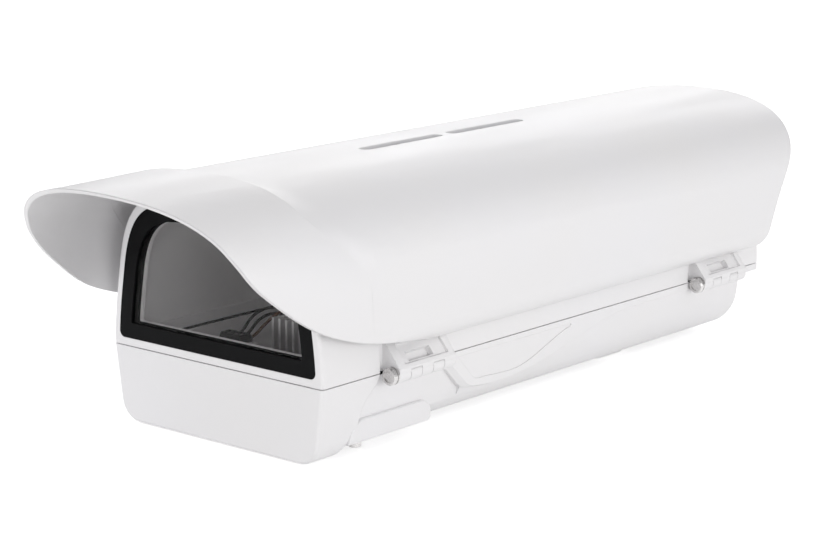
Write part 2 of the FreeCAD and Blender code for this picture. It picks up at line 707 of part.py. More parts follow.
def shield_edge(half, top, spring, power, thick=0.0, side=RIGHT):
    """The shield's section from lip tip over to lip tip: its outside, or its inside when given a thickness."""
    wall = side * (half - thick)
    tip = side * (half - LIP_IN - (LIP_FLAT if thick else 0.0))
    bend = (wall - side * 0.27 * LIP_IN, LIP_BOTTOM + 0.39 * (LIP_BEND - LIP_BOTTOM))
    low = LIP_BOTTOM + thick / 2
    over = arch_points(wall, spring, top - thick, power)
    return [(tip, low), [bend, (wall, LIP_BEND)], (wall, spring), over, (-wall, LIP_BEND),
            [(-bend[0], bend[1]), (-tip, low)]]


def shield_hollow(half, top, spring, power, thick):
    path = shield_edge(half, top, spring, power, thick)
    tip = path[0][0]
    return [(tip, 0.0)] + path + [(-tip, 0.0)]


def visor_loft(thick):
    """The visor as upright sections that narrow and grow rounder towards the rim."""
    wires = []
    first = arch_points(SHIELD_HALF - thick, VISOR_SPRING, VISOR_TOP - thick, VISOR_POWER)
    spacing = spacing_of([V(x, 0, height) for x, height in [(SHIELD_HALF - thick, VISOR_SPRING)] + first])
    for distance in (45 + thick, 30, 15, 5, -5, -15, -30, -45, -60, -75, -1.15 * VISOR_REACH - thick):
        ahead = -distance - VISOR_CREASE
        run = ahead / 2 + math.hypot(ahead / 2, VISOR_TAPER_BLEND)
        share = run / (VISOR_REACH - VISOR_CREASE)
        section = (SHIELD_HALF * (1 - VISOR_TAPER * run), VISOR_TOP,
                   VISOR_SPRING + share * (VISOR_RIM_SPRING - VISOR_SPRING),
                   VISOR_POWER + share * (VISOR_RIM_POWER - VISOR_POWER))
        path = shield_hollow(*section, thick) if thick else shield_edge(*section)
        wires.append(outline(across_at(distance), path, spacing).OuterWire)
    return Part.makeLoft(wires, True, False, False, 3)


def crease_path(shift):
    """Side view of the step between visor and roof, from high above it down to below the lip."""
    front = -VISOR_CREASE - shift
    return [(front, ACROSS), (front, SHIELD_TOP - 9.0),
            [(front + 10.3, 75.7), (front + 21.8, 63.8), (front + 30.0, 53.5)], (front + 38.0, -PARTING)]


def rim_path():
    """Side view of the visor's rim, from above its top down to the lip."""
    top = -VISOR_REACH
    return [(top - 1, VISOR_TOP + 4.5),
            [(top, VISOR_TOP), (top + 3.2, 101.0), (top + 6.2, 98.0), (top + 12.1, 90.0), (top + 20.7, 76.0),
             (top + 33.0, 60.0), (top + 44.7, 50.0), (top + 66.1, 35.0), (top + 87.8, 26.0), (top + 108.4, 20.7),
             (top + 129.5, 17.4), (top + 156.0, 13.6), (top + 184.0, 9.0)]]


def visor_region(shift):
    return along_x(crease_path(shift) + [(-BEYOND, -PARTING), (-BEYOND, ACROSS)], -ACROSS, ACROSS)


def roof_region(shift):
    return along_x(crease_path(shift) + [(BEYOND, -PARTING), (BEYOND, ACROSS)], -ACROSS, ACROSS)


def sunshield():
    """The one-piece shield: arched roof with curled lips, flared visor, raked tail and two adjusting slots."""
    arch = (SHIELD_HALF, SHIELD_TOP, SHIELD_SPRING, SHIELD_POWER)
    wall = shield_edge(*arch) + shield_edge(*arch, SHIELD_WALL, LEFT)
    roof = along_y(wall, -VISOR_REACH, BEYOND - 1).common(roof_region(0.0))
    inside = along_y(shield_hollow(*arch, SHIELD_WALL), 1 - VISOR_REACH, BEYOND - 2)
    hollow = inside.common(roof_region(VISOR_JOG))
    visor = visor_loft(0.0).common(visor_region(0.0))
    visor = visor.cut([hollow, visor_loft(SHIELD_WALL).common(visor_region(VISOR_JOG))])
    shell = roof.fuse(visor)
    foot_end = BODY_LENGTH - REAR_SHORT
    top_end = BODY_LENGTH + REAR_REACH
    tail = [(foot_end - 2, 0.0), (foot_end, LIP_BOTTOM),
            [(BODY_LENGTH + REAR_MIDDLE, REAR_MIDDLE_HEIGHT), (top_end, SHIELD_TOP)],
            (top_end + 12, SHIELD_TOP + 14), (BEYOND, SHIELD_TOP + 14), (BEYOND, 0.0)]
    shell = shell.cut(along_x(tail, -ACROSS, ACROSS))
    front = rim_path() + [(-BEYOND, 9.0), (-BEYOND, VISOR_TOP + 4.5)]
    shell = shell.cut(along_x(front, -ACROSS, ACROSS))
    first, last = SLOT_CENTRES
    half = SLOT_LENGTH / 2
    d0, d1 = first - half - SLOT_WIDTH, last + half + SLOT_WIDTH
    rail = rounded_box(-SHIELD_RAIL_HALF, SHIELD_RAIL_HALF, d0, d1, SHIELD_RAIL_HALF / 2)
    shell = shell.fuse(along_z(rail, RAIL_UNDERSIDE, SHIELD_TOP - SHIELD_WALL / 2))
    neck_in = (SLOT_WIDTH - SLOT_NECK) / 2
    for centre in SLOT_CENTRES:
        wide = along_z(slot_path(0.0, centre - half, centre + half, SLOT_WIDTH), LEDGE, SHIELD_TOP + 1)
        neck = along_z(slot_path(0.0, centre - half + neck_in, centre + half - neck_in, SLOT_NECK),
                       RAIL_UNDERSIDE - 1, LEDGE + 1)
        shell = shell.cut(wide).cut(neck)
    return shell.removeSplitter()


def socket_screw(x, distance, seat, head_r, head, shank_r, length, down):
    """A cap screw with a hexagon socket. Its head lies above the seat when it points down, and else below."""
    sign = 1 if down else -1
    top = seat + sign * head
    body = post(x, distance, min(seat, top), max(seat, top), head_r)
    body = body.makeFillet(head_r / 8, edges_where(body, lambda e: level(e, top)))
    end = seat - sign * length
    body = body.fuse(post(x, distance, min(seat, end), max(seat, end), shank_r))
    key = hexagon(x, distance, 1.73 * head_r * SOCKET_SHARE)
    bottom = top - sign * head * SOCKET_SHARE
    return body.cut(along_z(key, min(top, bottom), max(top, bottom)))


def foot_screws():
    screws = []
    for x in (-FOOT_SCREW_X, FOOT_SCREW_X):
        screws.append(socket_screw(x, FOOT_SCREW_Y, -FOOT_BOTTOM, FOOT_SCREW_HEAD_R, FOOT_SCREW_HEAD,
                                   FOOT_SCREW_R, FOOT_SCREW_LENGTH, False))
    return Part.makeCompound(screws)


def shield_screws():
    seat = LEDGE + SEAT_GAP
    screws = [socket_screw(0.0, centre, seat, SHIELD_SCREW_HEAD_R, SHIELD_SCREW_HEAD, SHIELD_SCREW_R,
                           SHIELD_SCREW_LENGTH, True) for centre in SLOT_CENTRES]
    return Part.makeCompound(screws)


def latch_screw(start):
    middle = start + HINGE_LENGTH / 2
    length = LUG_THICK + LATCH_REACH
    return socket_screw(LATCH_X, middle, -LUG_THICK, LATCH_HEAD_R, LATCH_HEAD, LATCH_R, length, False)


def hinge_pin(start):
    """A stainless pin with a round grip in front of the knuckles."""
    end = start + HINGE_LENGTH
    head_end = start - KNUCKLE_GAP
    head_start = head_end - PIN_HEAD_LENGTH
    head = rod(HINGE_X, HINGE_Z, head_start, head_end, PIN_HEAD_R)
    head = head.makeChamfer(PIN_GROOVE, edges_where(head, lambda e: facing(e, head_start)))
    groove_end = head_end - PIN_HEAD_LENGTH / 4
    groove = rod(HINGE_X, HINGE_Z, groove_end - PIN_GROOVE, groove_end, PIN_HEAD_R + 1)
    groove = groove.cut(rod(HINGE_X, HINGE_Z, head_start, head_end, PIN_HEAD_R - PIN_GROOVE))
    dish = rod(HINGE_X, HINGE_Z, head_start - 1, head_start + PIN_GROOVE, PIN_HEAD_R - PIN_DISH)
    return head.cut(groove).cut(dish).fuse(rod(HINGE_X, HINGE_Z, head_end, end + PIN_TAIL, PIN_R))


def lid_gasket():
    low = -HALF_GAP - GASKET_HEIGHT + PARTING_GAP - GASKET_GAP
    return gasket_ring(low, HALF_GAP - GASKET_GAP, 0.0)


def bracket_inserts():
    """Threaded sleeves, flush with the mounting face."""
    sleeves = []
    for x, distance in bracket_places():
        sleeve = post(x, distance, -PARTING, INSERT_LENGTH - PARTING, INSERT_R)
        sleeves.append(sleeve.cut(post(x, distance, -PARTING - 1, INSERT_LENGTH - PARTING + 1, BRACKET_HOLE_R)))
    return Part.makeCompound(sleeves)


def camera_plate():
    """A slotted plate on four bosses, which carries the camera."""
    low = PLATE_TOP - PLATE_THICK
    plate = along_z(rounded_box(-PLATE_HALF, PLATE_HALF, PLATE_FRONT, PLATE_END, PLATE_ROUND), low, PLATE_TOP)
    middle = (PLATE_FRONT + PLATE_END) / 2
    slot = slot_path(0.0, middle - PLATE_SLOT_HALF, middle + PLATE_SLOT_HALF, PLATE_SLOT_WIDTH)
    plate = plate.cut(along_z(slot, low - 1, PLATE_TOP + 1))
    for x, distance in plate_places():
        plate = plate.cut(post(x, distance, low - 1, PLATE_TOP + 1, PLATE_SCREW_R + 2 * SCREW_FIT))
    return plate


def plate_screws():
    screws = [socket_screw(x, distance, PLATE_TOP, PLATE_SCREW_HEAD_R, PLATE_SCREW_HEAD, PLATE_SCREW_R,
                           PLATE_LIFT, True) for x, distance in plate_places()]
    return Part.makeCompound(screws)


def camera_screw():
    """The camera's thumb screw, pushed up through the plate's slot."""
    middle = (PLATE_FRONT + PLATE_END) / 2
    low = PLATE_TOP - PLATE_THICK
    head = post(0.0, middle, low - CAMERA_SCREW_HEAD, low, CAMERA_SCREW_HEAD_R)
    head = head.makeFillet(0.6, edges_where(head, lambda e: level(e, low - CAMERA_SCREW_HEAD)))
    return head.fuse(post(0.0, middle, low, PLATE_TOP + CAMERA_SCREW_UP, CAMERA_SCREW_R))


def desk_path():
    """Side view of the folded sheet under the terminal block: foot, riser and desk."""
    t = DESK_THICK
    r = DESK_BEND
    k = r * (1 - math.sqrt(0.5))
    q = (r - t) * (1 - math.sqrt(0.5))
    low = TRAY_FLOOR
    top = DESK_TOP
    return [
        (DESK_BACK + DESK_FLANGE, low), (DESK_BACK + DESK_FLANGE, low + t), (DESK_BACK + r - t, low + t),
        [(DESK_BACK + q, low + t + q), (DESK_BACK, low + r)], (DESK_BACK, top - r),
        [(DESK_BACK - k, top - k), (DESK_BACK - r, top)], (DESK_FRONT, top), (DESK_FRONT, top - t),
        (DESK_BACK - r, top - t), [(DESK_BACK - t - q, top - t - q), (DESK_BACK - t, top - r)],
        (DESK_BACK - t, low + r), [(DESK_BACK - t + k, low + k), (DESK_BACK - t + r, low)],
    ]


def desk_screw_place():
    return (DESK_LEFT + DESK_RIGHT) / 2, DESK_FRONT + DESK_SCREW_HEAD_R + 2


def desk_foot_places():
    return [(x, DESK_BACK + DESK_FLANGE / 2 + 1) for x in (DESK_LEFT + 5, DESK_RIGHT - 8)]


def terminal_bracket():
    sheet = along_x(desk_path(), DESK_LEFT, DESK_RIGHT)
    hole_r = DESK_SCREW_R + SCREW_FIT
    for x, distance in desk_foot_places():
        sheet = sheet.cut(post(x, distance, TRAY_FLOOR - 1, TRAY_FLOOR + DESK_THICK + 1, hole_r))
    x, distance = desk_screw_place()
    return sheet.cut(post(x, distance, DESK_TOP - DESK_THICK - 1, DESK_TOP + 1, hole_r))


def bracket_screws():
    """Small pan-head screws: two through the foot, one on the desk."""
    screws = []
    for x, distance in desk_foot_places():
        seat = TRAY_FLOOR + DESK_THICK
        screws.append(socket_screw(x, distance, seat, DESK_SCREW_HEAD_R, DESK_SCREW_HEAD, DESK_SCREW_R,
                                   DESK_THICK, True))
    x, distance = desk_screw_place()
    screws.append(socket_screw(x, distance, DESK_TOP, DESK_SCREW_HEAD_R, DESK_SCREW_HEAD, DESK_SCREW_R,
                               2 * DESK_THICK, True))
    return Part.makeCompound(screws)


def pole_places():
    pitch = BLOCK_LENGTH / BLOCK_POLES
    return [BLOCK_X + (pole - (BLOCK_POLES - 1) / 2) * pitch for pole in range(BLOCK_POLES)]


def terminal_block():
    """A three-way block: a screw well above and a wire mouth before and behind each pole."""
    x0, x1 = BLOCK_X - BLOCK_LENGTH / 2, BLOCK_X + BLOCK_LENGTH / 2
    d0, d1 = BLOCK_Y - BLOCK_WIDTH / 2, BLOCK_Y + BLOCK_WIDTH / 2
    top = DESK_TOP + BLOCK_HEIGHT
    low = 0.4 * BLOCK_HEIGHT
    body = [(d0, DESK_TOP), (d1, DESK_TOP), (d1, DESK_TOP + low), (d1 - 2.0, top), (d0 + 2.0, top),
            (d0, DESK_TOP + low)]
    solid = along_x(body, x0, x1)
    for x in pole_places():
        solid = solid.cut(post(x, BLOCK_Y, top - 2.0, top + 1, BLOCK_WELL_R))
        solid = solid.cut(rod(x, DESK_TOP + WIRE_R + 0.6, d1 - 3.0, d1 + 1, WIRE_R + SCREW_FIT))
    return solid


def terminal_screws():
    top = DESK_TOP + BLOCK_HEIGHT
    screws = []
    for x in pole_places():
        head = post(x, BLOCK_Y, top - 2.0, top - 0.5, BLOCK_SCREW_R)
        end = BLOCK_SCREW_R + 1
        slot = block(x - end, x + end, BLOCK_Y - 0.25, BLOCK_Y + 0.25, top - 1.1, top)
        screws.append(head.cut(slot))
    return Part.makeCompound(screws)


def heater():
    """An upright finned block behind the window, on a flat foot."""
    x0, x1 = HEATER_X - HEATER_WIDTH / 2, HEATER_X + HEATER_WIDTH / 2
    back_face = HEATER_Y + HEATER_FIN + HEATER_BASE
    body = block(x0, x1, HEATER_Y + HEATER_FIN, back_face, TRAY_FLOOR, HEATER_TOP)
    pitch = (HEATER_WIDTH - HEATER_FIN_THICK) / (HEATER_FINS - 1)
    fins = []
    for fin in range(HEATER_FINS):
        x = x0 + fin * pitch
        fin_end = HEATER_Y + HEATER_FIN + 0.5
        fins.append(block(x, x + HEATER_FIN_THICK, HEATER_Y, fin_end, TRAY_FLOOR, HEATER_TOP))
    sole = block(x0, x1, back_face - 1, back_face + HEATER_FOOT, TRAY_FLOOR, TRAY_FLOOR + HEATER_FOOT_THICK)
    solid = body.fuse(fins).fuse(sole)
    for x, distance in heater_places():
        solid = solid.cut(post(x, distance, TRAY_FLOOR - 1, TRAY_FLOOR + HEATER_FOOT_THICK + 1,
                               HEATER_SCREW_R + SCREW_FIT))
    return solid.removeSplitter()


def heater_places():
    distance = HEATER_Y + HEATER_FIN + HEATER_BASE + HEATER_FOOT / 2
    return [(HEATER_X + side * (HEATER_WIDTH / 2 - 5), distance) for side in (LEFT, RIGHT)]


def heater_screws():
    seat = TRAY_FLOOR + HEATER_FOOT_THICK
    screws = [socket_screw(x, distance, seat, HEATER_SCREW_HEAD_R, HEATER_SCREW_HEAD, HEATER_SCREW_R,
                           HEATER_FOOT_THICK, True) for x, distance in heater_places()]
    return Part.makeCompound(screws)


def wire(points):
    """A round wire of straight runs joined by tangent arcs, each as large as its two runs allow."""
    stops = [V(x, back(distance), up(height)) for x, distance, height in points]
    edges = []
    radii = []
    here = stops[0]
    for before, corner, after in zip(stops, stops[1:], stops[2:]):
        trim = WIRE_SHARE * min((corner - before).Length, (after - corner).Length)
        start, middle, end, radius = bend(before, corner, after, trim)
        edges.append(Part.makeLine(here, start))
        edges.append(Part.Arc(start, middle, end).toShape())
        radii.append(round(radius, 1))
        here = end
    edges.append(Part.makeLine(here, stops[-1]))
    path = Part.Wire(edges)
    ring = Part.Wire(Part.makeCircle(WIRE_R, stops[0], stops[1] - stops[0]))
    tube = path.makePipeShell([ring], True, False)
    print("wire radii", radii, "volume share", round(tube.Volume / (math.pi * WIRE_R ** 2 * path.Length), 4))
    return tube


def wires():
    """Leads from the terminal block over to the back of the heater."""
    left, middle, right = pole_places()
    mouth = BLOCK_Y + BLOCK_WIDTH / 2
    lead = DESK_TOP + WIRE_R + 0.6
    heater_back = HEATER_Y + HEATER_FIN + HEATER_BASE
    return {
        "wire_black_left": wire([(left, mouth - 2.5, lead), (left, mouth + 4, lead), (left, mouth + 12, 9.0),
                                 (left + 3, mouth + 24, 13.0), (left + 12, mouth + 36, 9.0),
                                 (HEATER_X - 16, heater_back + 14, 0.0), (HEATER_X - 14, heater_back + 5, -8.0),
                                 (HEATER_X - 12, heater_back + WIRE_GAP, -8.5)]),
        "wire_black_right": wire([(middle, mouth - 2.5, lead), (middle, mouth + 4, lead),
                                  (middle + 1, mouth + 11, 8.0), (middle + 4, mouth + 21, 11.0),
                                  (middle + 12, mouth + 33, 7.0), (HEATER_X - 8, heater_back + 14, -1.0),
                                  (HEATER_X - 6, heater_back + 5, -8.0),
                                  (HEATER_X - 5, heater_back + WIRE_GAP, -8.5)]),
        "wire_brown": wire([(right, mouth - 2.5, lead), (right, mouth + 4, lead), (right + 2, mouth + 11, 7.0),
                            (right + 8, mouth + 21, 15.0), (right + 17, mouth + 29, 14.0),
                            (HEATER_X + 2, heater_back + 12, 4.0), (HEATER_X + 4, heater_back + 6, -5.0),
                            (HEATER_X + 4, heater_back + WIRE_GAP, -5.5)]),
    }


def gland_axis(side):
    return side * GLAND_X


def gland_body(side):
    """Hexagon, clamping barrel and a threaded neck through the tray's back wall."""
    x = gland_axis(side)
    hexed = along_y(hexagon(x, GLAND_Z, GLAND_FLATS), TRAY_END, TRAY_END + GLAND_HEX)
    neck = rod(x, GLAND_Z, TRAY_END - WALL - GLAND_INSIDE, TRAY_END, GLAND_THREAD_R)
    barrel = rod(x, GLAND_Z, TRAY_END + GLAND_HEX, TRAY_END + GLAND_HEX + GLAND_BARREL, GLAND_BARREL_R - 1)
    solid = hexed.fuse(neck).fuse(barrel)
    bore_start = TRAY_END - WALL - GLAND_INSIDE - 1
    solid = solid.cut(rod(x, GLAND_Z, bore_start, TRAY_END + GLAND_HEX + GLAND_BARREL + 1, GLAND_CABLE_R + 0.8))
    seat = TRAY_END + GLAND_HEX + GLAND_BARREL - GLAND_SEAL + 2
    return solid.cut(rod(x, GLAND_Z, seat, seat + GLAND_SEAL, GLAND_SEAL_R + GLAND_FIT))


def gland_seal(side):
    x = gland_axis(side)
    start = TRAY_END + GLAND_HEX + GLAND_BARREL - GLAND_SEAL + 2
    ring = rod(x, GLAND_Z, start, start + GLAND_SEAL, GLAND_SEAL_R)
    return ring.cut(rod(x, GLAND_Z, start - 1, start + GLAND_SEAL + 1, GLAND_CABLE_R))


def gland_cap(side):
    """The domed clamping nut."""
    x = gland_axis(side)
    start = TRAY_END + GLAND_HEX + 0.6
    end = start + GLAND_CAP
    hexed = along_y(hexagon(x, GLAND_Z, GLAND_FLATS), start, start + GLAND_CAP * 0.6)
    dome = rod(x, GLAND_Z, start + GLAND_CAP * 0.3, end, GLAND_CAP_R)
    dome = dome.makeFillet(GLAND_CAP * 0.35, edges_where(dome, lambda e: facing(e, end)))
    solid = hexed.common(rod(x, GLAND_Z, start, end, GLAND_FLATS * 0.54)).fuse(dome)
    seal_end = TRAY_END + GLAND_HEX + GLAND_BARREL + 2
    solid = solid.cut(rod(x, GLAND_Z, start - 1, seal_end + GLAND_FIT, GLAND_BARREL_R - 1 + GLAND_FIT))
    return solid.cut(rod(x, GLAND_Z, start, end + 1, GLAND_CABLE_R + 0.8))


def gland_nut(side):
    x = gland_axis(side)
    end = TRAY_END - WALL
    nut = along_y(hexagon(x, GLAND_Z, GLAND_FLATS), end - GLAND_NUT, end)
    return nut.cut(rod(x, GLAND_Z, end - GLAND_NUT - 1, end + 1, GLAND_THREAD_R + GLAND_FIT))


def pieces():
    made = {
        "base_shell": base_shell(),
        "lid_shell": lid_shell(),
        "sunshield": sunshield(),
        "window_seal": window_seal(),
        "window_glass": window_glass(),
        "lid_gasket": lid_gasket(),
        "foot_screws": foot_screws(),
        "shield_screws": shield_screws(),
        "bracket_inserts": bracket_inserts(),
        "camera_plate": camera_plate(),
        "plate_screws": plate_screws(),
        "camera_screw": camera_screw(),
        "terminal_bracket": terminal_bracket(),
        "bracket_screws": bracket_screws(),
        "terminal_block": terminal_block(),
        "terminal_screws": terminal_screws(),
        "heater": heater(),
        "heater_screws": heater_screws(),
    }
    for name, start in HINGE_STARTS.items():
        made["hinge_pin_" + name] = hinge_pin(start)
        made["latch_screw_" + name] = latch_screw(start)
    for name, side in (("left", LEFT), ("right", RIGHT)):
        made["gland_body_" + name] = gland_body(side)
        made["gland_seal_" + name] = gland_seal(side)
        made["gland_cap_" + name] = gland_cap(side)
        made["gland_nut_" + name] = gland_nut(side)
    made.update(wires())
    return made


for node, shape in pieces().items():
    shape.exportStep("parts/" + node + ".step")
    box = shape.BoundBox
    print(node, "valid" if shape.isValid() else "INVALID", len(shape.Solids), "solids", round(shape.Volume, 1),
          [round(v, 1) for v in (box.XMin, box.YMin, box.ZMin, box.XMax, box.YMax, box.ZMax)])
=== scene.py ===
import json
import math

import bpy
import numpy as np
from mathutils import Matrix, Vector


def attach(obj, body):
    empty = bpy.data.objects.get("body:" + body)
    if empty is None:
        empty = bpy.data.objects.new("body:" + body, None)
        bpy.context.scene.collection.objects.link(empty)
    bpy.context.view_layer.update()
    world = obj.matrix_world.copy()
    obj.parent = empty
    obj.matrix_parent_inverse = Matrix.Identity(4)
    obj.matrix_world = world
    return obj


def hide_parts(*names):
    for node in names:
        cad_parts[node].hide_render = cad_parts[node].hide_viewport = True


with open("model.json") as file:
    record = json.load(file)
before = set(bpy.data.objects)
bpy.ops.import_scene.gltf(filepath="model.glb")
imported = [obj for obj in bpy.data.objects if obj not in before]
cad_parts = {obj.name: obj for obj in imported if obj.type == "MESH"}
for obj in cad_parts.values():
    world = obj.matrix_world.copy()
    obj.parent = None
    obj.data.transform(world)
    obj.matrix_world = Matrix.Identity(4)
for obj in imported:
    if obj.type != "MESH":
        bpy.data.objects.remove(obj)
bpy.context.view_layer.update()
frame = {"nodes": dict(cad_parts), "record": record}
NODES = frame["nodes"]
BODIES = frame["record"]["behaviour"]["bodies"]
BODY_OF = {name: body for body, names in BODIES.items() for name in names}

# Shader nodes


class Tone:
    """A node's output, which can be added to and multiplied like a number."""

    def __init__(self, tree, socket):
        self.tree = tree
        self.socket = socket

    def maths(self, operation, other):
        settings = {"operation": operation}
        return node(self.tree, "ShaderNodeMath", settings, {0: self, 1: other})

    def __add__(self, other):
        return self.maths("ADD", other)

    def __mul__(self, other):
        return self.maths("MULTIPLY", other)

    def spread(self, low, high, to_low=0.0, to_high=1.0):
        """The part from low to high, spread over the new range and cut off outside it."""
        values = {"Value": self, "From Min": low, "From Max": high,
                  "To Min": to_low, "To Max": to_high}
        return node(self.tree, "ShaderNodeMapRange", {"clamp": True}, values)


def fill(tree, socket, value):
    """Links a tone to the socket, or sets the socket to a plain number, colour or vector."""
    if isinstance(value, Tone):
        tree.links.new(value.socket, socket)
    else:
        socket.default_value = value


def node(tree, kind, settings, values, out=0):
    """Adds a node, changes its settings, fills its sockets and returns one output."""
    made = tree.nodes.new(kind)
    for name, value in settings.items():
        setattr(made, name, value)
    for name, value in values.items():
        fill(tree, made.inputs[name], value)
    return Tone(tree, made.outputs[out])


def place(tree, stretch=(1.0, 1.0, 1.0)):
    """Object coordinates, scaled along the axes."""
    here = node(tree, "ShaderNodeTexCoord", {}, {}, "Object")
    values = {"Vector": here, "Scale": stretch}
    return node(tree, "ShaderNodeMapping", {"vector_type": "POINT"}, values)


def grain(tree, spot, size, detail=2.0, rough=0.5):
    """Noise from 0 to 1 whose clouds are about this size in metres."""
    values = {"Vector": spot, "Scale": 1.0 / size, "Detail": detail, "Roughness": rough}
    return node(tree, "ShaderNodeTexNoise", {"normalize": True}, values, "Fac")


def blend(tree, share, first, second):
    """The first colour, turning into the second with the share."""
    values = {"Factor": share, "A": first, "B": second}
    made = tree.nodes.new("ShaderNodeMix")
    made.data_type = "RGBA"
    for socket in made.inputs:
        if socket.name in values and socket.enabled:
            fill(tree, socket, values[socket.name])
    return Tone(tree, [out for out in made.outputs if out.enabled][0])


def bumps(tree, height, depth, share, edge=0.0):
    """Small relief; edges look rounded by this radius where one is given."""
    values = {"Height": height, "Distance": depth, "Strength": share}
    if edge:
        values["Normal"] = node(tree, "ShaderNodeBevel", {"samples": 6}, {"Radius": edge})
    return node(tree, "ShaderNodeBump", {}, values, "Normal")


def mixed(tree, share, first, second):
    """The first shader, turning into the second with the share."""
    return node(tree, "ShaderNodeMixShader", {}, {0: share, 1: first, 2: second})


def seen_by(tree, *rays):
    """1 for the named kinds of ray and 0 for all others."""
    paths = tree.nodes.new("ShaderNodeLightPath")
    seen, *others = [Tone(tree, paths.outputs["Is " + ray + " Ray"]) for ray in rays]
    for other in others:
        seen = seen.maths("MAXIMUM", other)
    return seen


def cleared(owner, output="ShaderNodeOutputMaterial"):
    """The node tree of a material or world, and the surface socket of its only node."""
    owner.use_nodes = True
    tree = owner.node_tree
    tree.nodes.clear()
    return tree, tree.nodes.new(output).inputs["Surface"]


def surfaced(name):
    """A new material with its surface shader."""
    made = bpy.data.materials.new(name)
    tree, surface = cleared(made)
    shader = tree.nodes.new("ShaderNodeBsdfPrincipled")
    tree.links.new(shader.outputs[0], surface)
    return made, tree, shader


def feed(tree, shader, **sockets):
    """Fills the shader's sockets by their names, with _ for a space."""
    for name, value in sockets.items():
        fill(tree, shader.inputs[name.replace("_", " ")], value)


def rgb(red, green, blue):
    return (red, green, blue, 1.0)


def dimmed(colour, shares):
    """The colour with each of its three channels multiplied by its share."""
    return rgb(*(channel * share for channel, share in zip(colour, shares)))


# The photograph's camera, solved from the edges of the body

AZIMUTH = math.radians(40.5)
DIP = math.radians(12.36)
CAMERA_SPOT = (0.85192, -1.03735, 0.35296)
FOCAL_LENGTH = 2347.0  # in pixels of the photograph
PHOTO_WIDTH = 830.0  # in pixels
SENSOR_WIDTH = 36.0  # in millimetres, like the lens


def photograph():
    """Sets up the camera that took the photograph."""
    data = bpy.data.cameras.new("photograph")
    data.lens = FOCAL_LENGTH / PHOTO_WIDTH * SENSOR_WIDTH
    data.sensor_width = SENSOR_WIDTH
    data.sensor_fit = "HORIZONTAL"
    data.clip_end = 60.0
    made = bpy.data.objects.new("photograph", data)
    bpy.context.collection.objects.link(made)
    made.location = CAMERA_SPOT
    ahead = Vector((-math.sin(AZIMUTH) * math.cos(DIP), math.cos(AZIMUTH) * math.cos(DIP),
                    -math.sin(DIP)))
    made.rotation_euler = ahead.to_track_quat("-Z", "Y").to_euler()
    bpy.context.scene.camera = made


photograph()

# Finishes; all sizes and depths in metres

FINE_PORES = 0.0004
FINE_RELIEF = 0.00003
TOOL_LINES = 0.0006
TOOL_RELIEF = 0.00004
WARMER = (1.0, 0.995, 0.98)
DUSTY = (0.955, 0.955, 0.955)
ALONG_Y = (1.0, 0.12, 1.0)  # a stretch that draws the noise out along the housing
UPRIGHT = (1.0, 1.0, 0.05)  # and one that draws it out from the floor upwards


def moulded_white(name, colour, pore, rough, edge):
    """White housing plastic: a fine eroded grain, faint clouds and dust, and uneven gloss."""
    made, tree, shader = surfaced(name)
    spot = place(tree)
    clouds = grain(tree, spot, size=0.09, detail=3.0)
    flow = grain(tree, place(tree, ALONG_Y), size=0.02)
    pores = grain(tree, spot, size=pore, rough=0.7)
    dust = grain(tree, spot, size=0.006, detail=4.0, rough=0.6)
    tint = blend(tree, clouds.spread(0.3, 0.7), colour, dimmed(colour, WARMER))
    tint = blend(tree, dust.spread(0.62, 0.85, to_high=0.35), tint, dimmed(colour, DUSTY))
    feed(tree, shader, Base_Color=tint, Specular_IOR_Level=0.42,
         Roughness=flow.spread(0.3, 0.7, rough - 0.04, rough + 0.05),
         Normal=bumps(tree, pores, FINE_RELIEF, share=0.5, edge=edge))
    return made


def black_rubber(name, colour, shade):
    """Matt black rubber with a slight bloom."""
    made, tree, shader = surfaced(name)
    spot = place(tree)
    bloom = grain(tree, spot, size=0.018, detail=4.0, rough=0.6)
    pores = grain(tree, spot, size=FINE_PORES)
    feed(tree, shader, Base_Color=blend(tree, bloom.spread(0.35, 0.8), colour, shade),
         Specular_IOR_Level=0.06, Roughness=bloom.spread(0.3, 0.75, 0.52, 0.66),
         Normal=bumps(tree, pores, FINE_RELIEF, share=0.5))
    return made


def plastic(name, colour, shade, rough):
    """Small plastic parts with a little mottling."""
    made, tree, shader = surfaced(name)
    spot = place(tree)
    clouds = grain(tree, spot, size=0.008, detail=3.0)
    pores = grain(tree, spot, size=FINE_PORES)
    feed(tree, shader, Base_Color=blend(tree, clouds.spread(0.3, 0.75), colour, shade),
         Roughness=clouds.spread(0.3, 0.7, rough - 0.05, rough + 0.06),
         Normal=bumps(tree, pores, FINE_RELIEF, share=0.5))
    return made


def turned_metal(name, colour, shade, rough, stretch=(1.0, 1.0, 1.0)):
    """Machined metal: fine tool marks, slight stains and uneven gloss."""
    made, tree, shader = surfaced(name)
    marks = grain(tree, place(tree, stretch), size=TOOL_LINES, detail=3.0, rough=0.6)
    stains = grain(tree, place(tree), size=0.007, detail=3.0, rough=0.55)
    wear = marks * 0.6 + stains * 0.4
    feed(tree, shader, Base_Color=blend(tree, stains.spread(0.35, 0.8), colour, shade),
         Metallic=1.0, Roughness=wear.spread(0.3, 0.7, rough - 0.07, rough + 0.1),
         Normal=bumps(tree, marks, TOOL_RELIEF, share=0.6))
    return made


